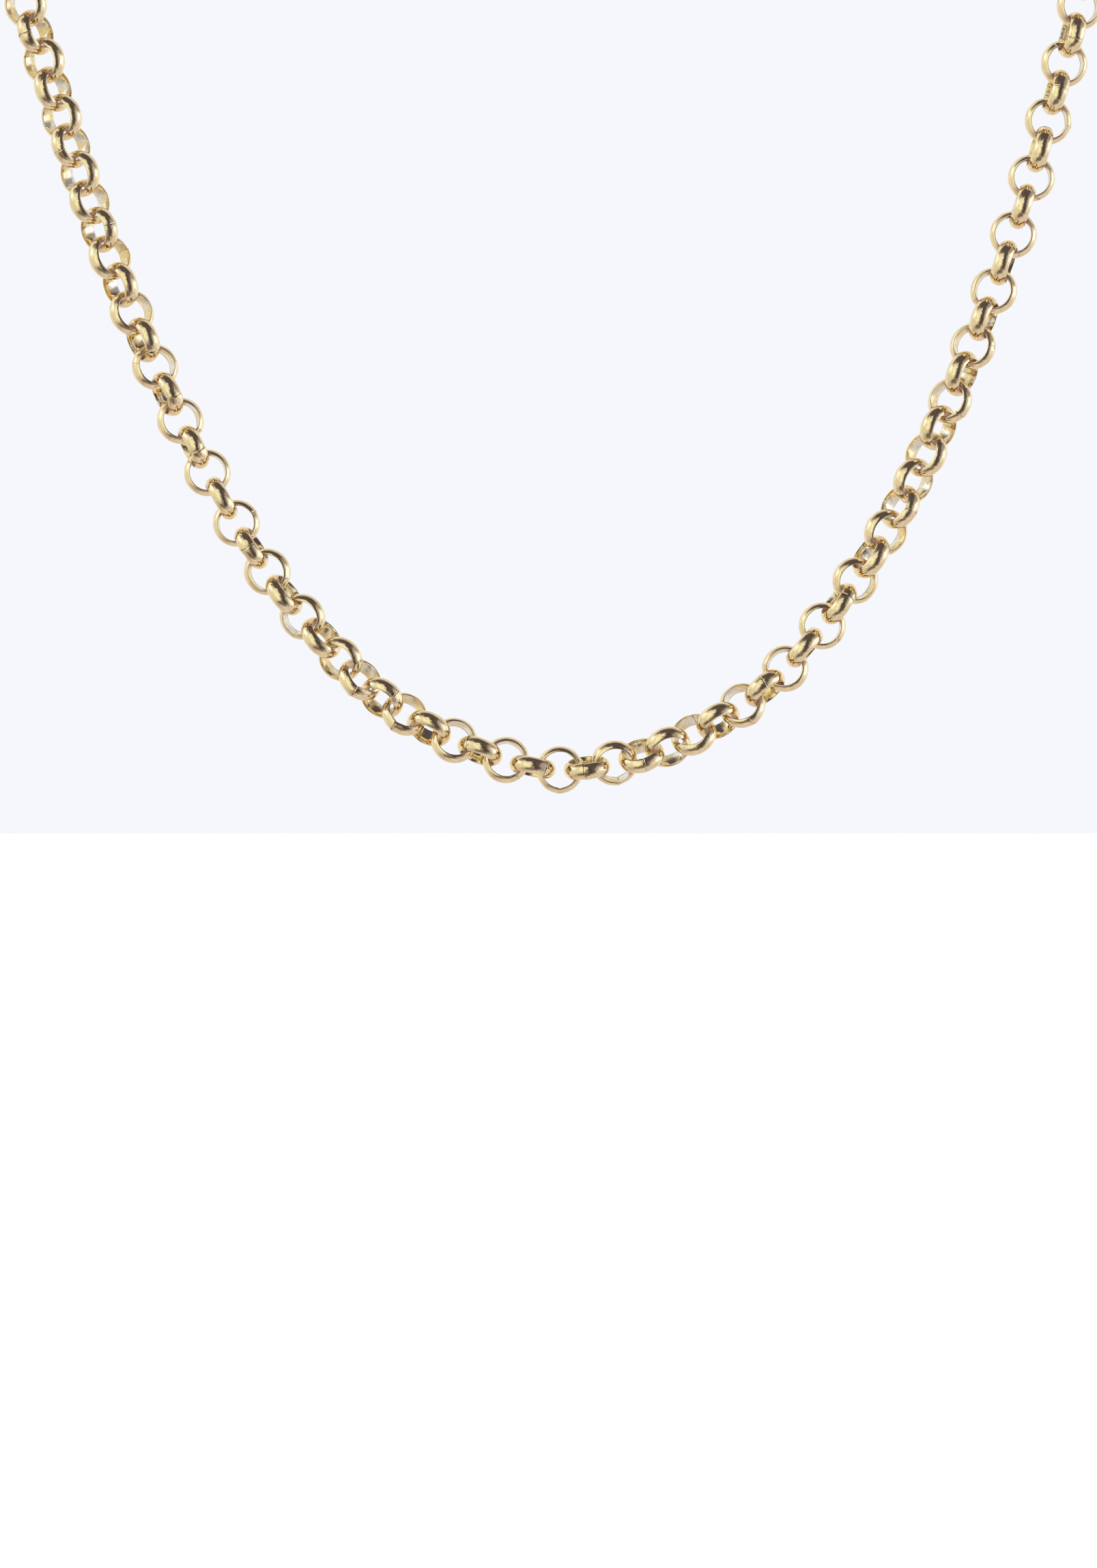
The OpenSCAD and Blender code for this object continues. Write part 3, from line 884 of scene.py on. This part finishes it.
folds = add(room_tree, "ShaderNodeTexNoise", {"Vector": direction, "Scale": FOLD_SCALE, "Detail": 2.0})
sway = add(room_tree, "ShaderNodeMapRange", {
    "Value": folds.outputs[0], "From Min": NOISE_LOW, "From Max": NOISE_HIGH,
    "To Min": -FOLD_SWAY, "To Max": FOLD_SWAY})
azimuth = add(room_tree, "ShaderNodeMath", {0: straight_azimuth, 1: sway}, operation="ADD")
print("The folds move an edge by up to", FOLD_SWAY, "degrees")

# %% Paint one surface of the room over what is there
def light_of(colour, strength):
    """The light that a surface of this colour sends out."""
    return [strength * part * warmth for part, warmth in zip(linear(colour), linear(LAMPLIGHT))]


def between(value, low, high, soft):
    """1 from low to high and 0 outside, with soft edges centred on the two limits."""
    rise = add(room_tree, "ShaderNodeMapRange", {
        "Value": value, "From Min": low - soft / 2, "From Max": low + soft / 2},
        interpolation_type="SMOOTHSTEP")
    fall = add(room_tree, "ShaderNodeMapRange", {
        "Value": value, "From Min": high + soft / 2, "From Max": high - soft / 2},
        interpolation_type="SMOOTHSTEP")
    return add(room_tree, "ShaderNodeMath", {0: rise, 1: fall}, operation="MULTIPLY")


def painted_over(below, mask_a, mask_b, colour, strength):
    """The room with one more surface, where both masks are 1."""
    mask = add(room_tree, "ShaderNodeMath", {0: mask_a, 1: mask_b}, operation="MULTIPLY")
    mixed = add(room_tree, "ShaderNodeMix", {
        0: mask, 6: below, 7: light_of(colour, strength)}, data_type="RGBA")
    return mixed.outputs[2]


room = light_of(*BACK_WALL)
for low_a, high_a, low_e, high_e, soft, colour, strength in WALLS.values():
    across = between(azimuth, low_a, high_a, soft)
    upright = between(elevation, low_e, high_e, soft)
    room = painted_over(room, across, upright, colour, strength)
print("The walls take", len(room_tree.nodes), "nodes")

# %% Paint the two surfaces that lie in level planes
# A direction meets a level plane at its sideways part over its upright part, which must not come near 0
LEAST_HEIGHT = 0.01


def level_panel(below, height, panel):
    """A panel in a level plane, at a height above or a depth below the chain."""
    low_right, high_right, soft_right, low_front, high_front, soft_front, colour, strength = panel
    upwards = add(room_tree, "ShaderNodeMath", {0: height, 1: LEAST_HEIGHT}, operation="MAXIMUM")
    to_right = add(room_tree, "ShaderNodeMath", {0: right, 1: upwards}, operation="DIVIDE")
    to_front = add(room_tree, "ShaderNodeMath", {0: front, 1: upwards}, operation="DIVIDE")
    across = between(to_right, low_right, high_right, soft_right)
    away = between(to_front, low_front, high_front, soft_front)
    return painted_over(below, across, away, colour, strength)


room = level_panel(room, up, CEILING_PANEL)
room = level_panel(room, down, GAP_BEYOND_THE_TABLE)
print("The ceiling panel is", round(CEILING_PANEL[1] - CEILING_PANEL[0], 2), "times as wide as it is high up")

# %% Light the chain with the room, and show the camera a plain backdrop
BACKDROP = "#F6F7FC"
fold_light = add(room_tree, "ShaderNodeMapRange", {
    "Value": folds.outputs[0], "From Min": NOISE_LOW, "From Max": NOISE_HIGH,
    "To Min": 1 - FOLD_SHADE, "To Max": 1 + FOLD_SHADE})
surroundings = add(room_tree, "ShaderNodeBackground", {"Color": room, "Strength": fold_light})
backdrop = add(room_tree, "ShaderNodeBackground", {"Color": linear(BACKDROP)})
seen_by_camera = add(room_tree, "ShaderNodeLightPath").outputs["Is Camera Ray"]
both = add(room_tree, "ShaderNodeMixShader", {0: seen_by_camera, 1: surroundings, 2: backdrop})
add(room_tree, "ShaderNodeOutputWorld", {"Surface": both})
bpy.context.scene.world = world
bpy.context.scene.view_settings.view_transform = "Standard"
print("The world has", len(room_tree.nodes), "nodes")

# %% [markdown]
# ## The floor
# Behind the chain the photograph is a pale, cool grey, and from a level line just below the chain on it is
# purely white. The grey is the world as the camera sees it. The white could be a second backdrop, but it is
# made as a large painted table, far below the chain, because its far edge draws the line and it also gives
# the other views a ground. The paint glows a little, so that it comes out white in any light. The gold
# doesn't mirror this table, since the room already has one where the reflections need it.

# %% The pale floor
FLOOR_DROP = 0.35
FLOOR_REACH = 30.0
PAINT = "#F6F6F6"
PAINT_ROUGHNESS = 0.7
PAINT_GLOW = "#F8FAFF"
PAINT_GLOW_STRENGTH = 0.62


def pale_floor():
    """A square plane that belongs to the stage, not to the chain."""
    mesh = bpy.data.meshes.new("pale_floor")
    sides = [(-1, -1), (1, -1), (1, 1), (-1, 1)]
    corners = [(x * FLOOR_REACH, y * FLOOR_REACH, -FLOOR_DROP) for x, y in sides]
    mesh.from_pydata(corners, [], [(0, 1, 2, 3)])
    material = bpy.data.materials.new("white painted table")
    tree = empty_tree(material)
    paint = add(tree, "ShaderNodeBsdfPrincipled", {
        "Base Color": linear(PAINT), "Roughness": PAINT_ROUGHNESS,
        "Emission Color": linear(PAINT_GLOW), "Emission Strength": PAINT_GLOW_STRENGTH})
    add(tree, "ShaderNodeOutputMaterial", {"Surface": paint})
    mesh.materials.append(material)
    made = in_scene("pale_floor", mesh)
    made.visible_glossy = False
    made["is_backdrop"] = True


pale_floor()
print("The floor lies", round(FLOOR_DROP / MM), "mm below the nape")

# %% [markdown]
# ## The camera
# The photograph looks straight at the hanging front from some way off. The picture's middle isn't the
# chain's middle, so the camera stands opposite the photograph's centre pixel, which keeps its shift at zero.

# %% The camera at the photograph's angle
IMAGE_WIDTH, IMAGE_HEIGHT = 1607, 2296
CAMERA_AWAY = 0.7
# Sensor and lens are in millimetres. In an upright picture the sensor's width lies along the height.
SENSOR = 36.0


def photo_camera():
    """A camera that sees the chain's front at the photograph's own scale."""
    lowest_middle = chain[lowest]["middle"]
    pixel = mm_per_pixel * MM
    x = lowest_middle.x + (IMAGE_WIDTH / 2 - LOWEST_LINK_PIXEL[0]) * pixel
    z = lowest_middle.z - (IMAGE_HEIGHT / 2 - LOWEST_LINK_PIXEL[1]) * pixel
    data = bpy.data.cameras.new("photograph")
    data.sensor_width = SENSOR
    data.lens = SENSOR * CAMERA_AWAY / (IMAGE_HEIGHT * pixel)
    camera = in_scene("photograph", data)
    camera.location = (x, lowest_middle.y - CAMERA_AWAY, z)
    camera.rotation_euler = (math.radians(90), 0, 0)
    bpy.context.scene.camera = camera
    print("The lens is", round(data.lens, 1), "mm long")


photo_camera()

# %% [markdown]
# ## The end
# The looks may stand a little proud of the construction, but only by a hair, because the shapes that collide
# are made from the construction. So the whole is measured once more, and both boxes are kept side by side.

# %% Compare the sizes and finish
looks_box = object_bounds()
proud = [round((b - a) / MM, 3) for a, b in zip(cad_box[1], looks_box[1])]
print("At the box's upper corner the looks stand proud by", proud, "mm")
